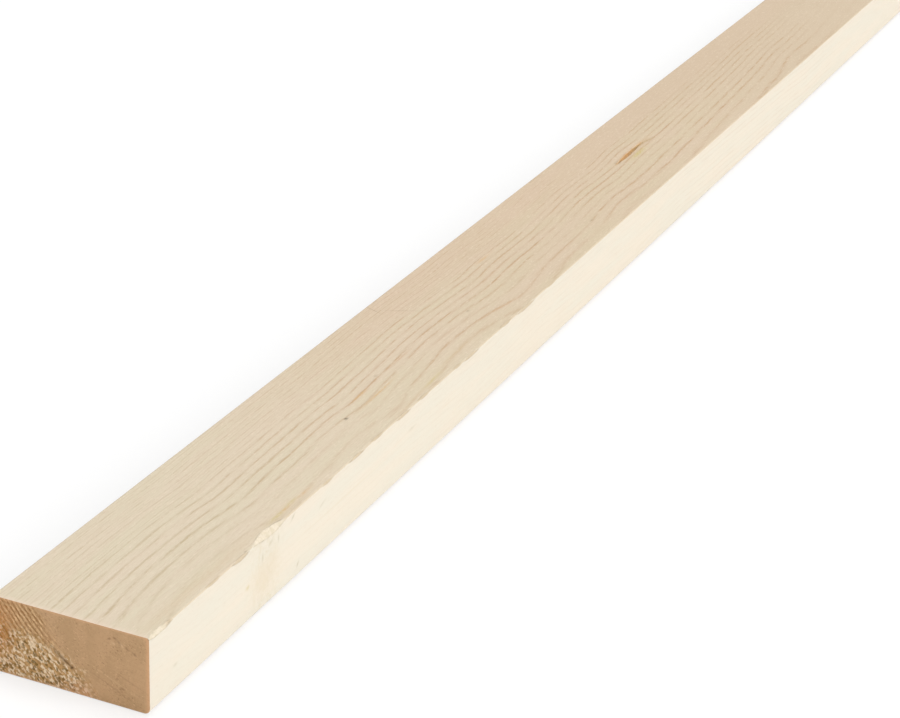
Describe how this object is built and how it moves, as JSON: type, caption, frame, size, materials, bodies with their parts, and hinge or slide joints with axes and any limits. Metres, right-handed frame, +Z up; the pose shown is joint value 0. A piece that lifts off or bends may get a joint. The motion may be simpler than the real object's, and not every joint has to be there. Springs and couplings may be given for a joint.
{
  "type": "timber lumber plank",
  "caption": "Planed square-edge softwood plank with eased arrises, a torn top arris near one end and an open resin pocket in its wide face.",
  "frame": {"origin": "centre of the underside", "axes": "+X along the grain, away from the end with the torn arris; +Y across the wide face, away from the torn arris; +Z up through the thickness"},
  "size_m": [1.8, 0.044, 0.021],
  "materials": {
    "planed_softwood": "planed, bare"
  },
  "bodies": {
    "root": {"plank": "planed_softwood"}
  },
  "joints": []
}
